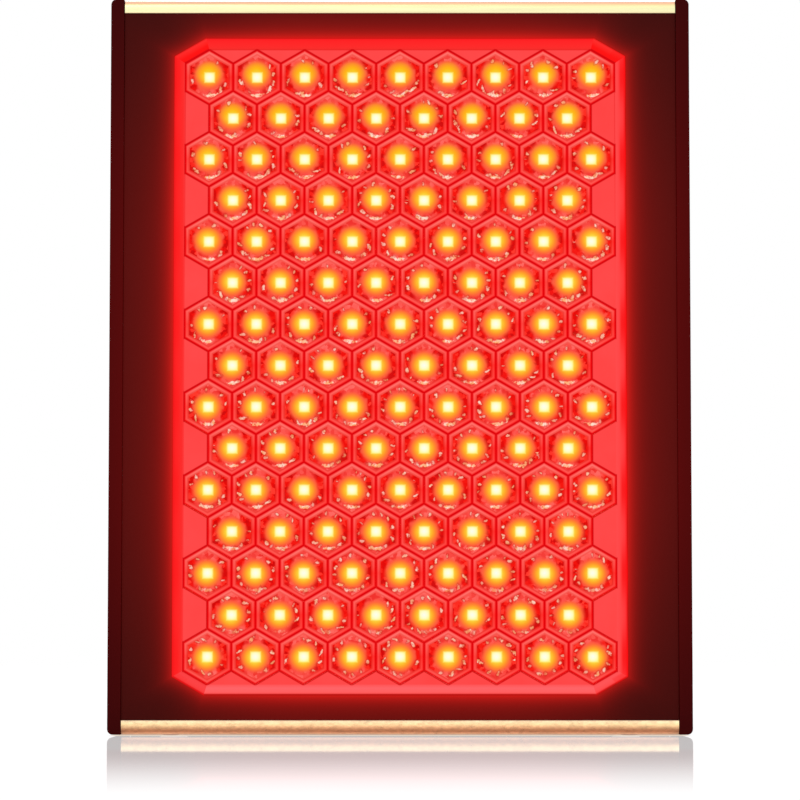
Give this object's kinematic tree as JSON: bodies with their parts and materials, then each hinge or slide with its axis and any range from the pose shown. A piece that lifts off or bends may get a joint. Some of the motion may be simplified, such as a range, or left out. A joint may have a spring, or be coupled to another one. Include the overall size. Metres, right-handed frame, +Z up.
{
  "type": "red light therapy panel",
  "caption": "Free-standing red light therapy panel: honeycomb lens field in a dark red housing with gold trims, fans and switches behind, and a fold-out wire stand.",
  "frame": {"origin": "on the ground, under the middle of the panel's outer box", "axes": "+X right and +Z up as seen from the front; the lenses face -Y, +Y is the back"},
  "size_m": [0.266, 0.0684, 0.338],
  "materials": {
    "housing": "satin dark red",
    "gold": "bright gold anodised",
    "lens": "clear red, moulded",
    "black_sheet": "matt black powder coat",
    "black_plastic": "fine matt",
    "steel": "bright zinc plated",
    "aluminium": "plain extruded",
    "brass": "nickel brass",
    "rubber": "matt black",
    "board": "white solder mask",
    "control": "green solder mask",
    "led": "pale yellow",
    "rocker": "red"
  },
  "bodies": {
    "panel": {"bottom_cover": "housing", "control_board": "control", "fan_frame_left": "black_plastic", "fan_frame_right": "black_plastic", "fan_guard_left": "steel", "fan_guard_right": "steel", "foot_front_left": "rubber", "foot_front_right": "rubber", "foot_rear_left": "rubber", "foot_rear_right": "rubber", "front_plate": "housing", "heat_sink": "aluminium", "inlet_body": "black_plastic", "inlet_pin_earth": "brass", "inlet_pin_line": "brass", "inlet_pin_neutral": "brass", "led_board": "board", "led_driver_left": "aluminium", "led_driver_right": "aluminium", "led_string_1": "led", "led_string_2": "led", "led_string_3": "led", "led_string_4": "led", "led_string_5": "led", "led_string_6": "led", "led_string_7": "led", "led_string_8": "led", "lens_bank_1": "lens", "lens_bank_2": "lens", "lens_bank_3": "lens", "lens_bank_4": "lens", "lens_bank_5": "lens", "lens_bank_6": "lens", "lens_bank_7": "lens", "lens_bank_8": "lens", "lens_tray": "lens", "mains_wire_left": "rubber", "mains_wire_right": "rubber", "rail_left": "housing", "rail_right": "housing", "rear_cover": "black_sheet", "rear_screw_1": "steel", "rear_screw_2": "steel", "rear_screw_3": "steel", "rear_screw_4": "steel", "rear_screw_5": "steel", "rear_screw_6": "steel", "stand_bracket_left": "steel", "stand_bracket_right": "steel", "switch_housing_left": "black_plastic", "switch_housing_right": "black_plastic", "top_cover": "housing", "trim_bottom": "gold", "trim_top": "gold"},
    "fan_left": {"fan_rotor_left": "black_plastic"},
    "fan_right": {"fan_rotor_right": "black_plastic"},
    "rocker_left": {"switch_rocker_left": "rocker"},
    "rocker_right": {"switch_rocker_right": "rocker"},
    "stand": {"stand": "steel"}
  },
  "joints": [
    {"name": "fan_left_spin", "type": "hinge", "parent": "panel", "child": "fan_left", "pos_m": [-0.06, 0.00923, 0.21532], "axis": [0, 1, 0], "continuous": true},
    {"name": "fan_right_spin", "type": "hinge", "parent": "panel", "child": "fan_right", "pos_m": [0.06, 0.00923, 0.21532], "axis": [0, 1, 0], "continuous": true},
    {"name": "rocker_left_tilt", "type": "hinge", "parent": "panel", "child": "rocker_left", "pos_m": [-0.016, 0.02573, 0.0761], "axis": [1, 0, 0], "range_deg": [0, 20]},
    {"name": "rocker_right_tilt", "type": "hinge", "parent": "panel", "child": "rocker_right", "pos_m": [0.016, 0.02573, 0.0761], "axis": [1, 0, 0], "range_deg": [0, 20]},
    {"name": "stand_fold", "type": "hinge", "parent": "panel", "child": "stand", "pos_m": [0, 0.02892, 0.1396], "axis": [1, 0, 0], "range_deg": [0, 45]}
  ]
}
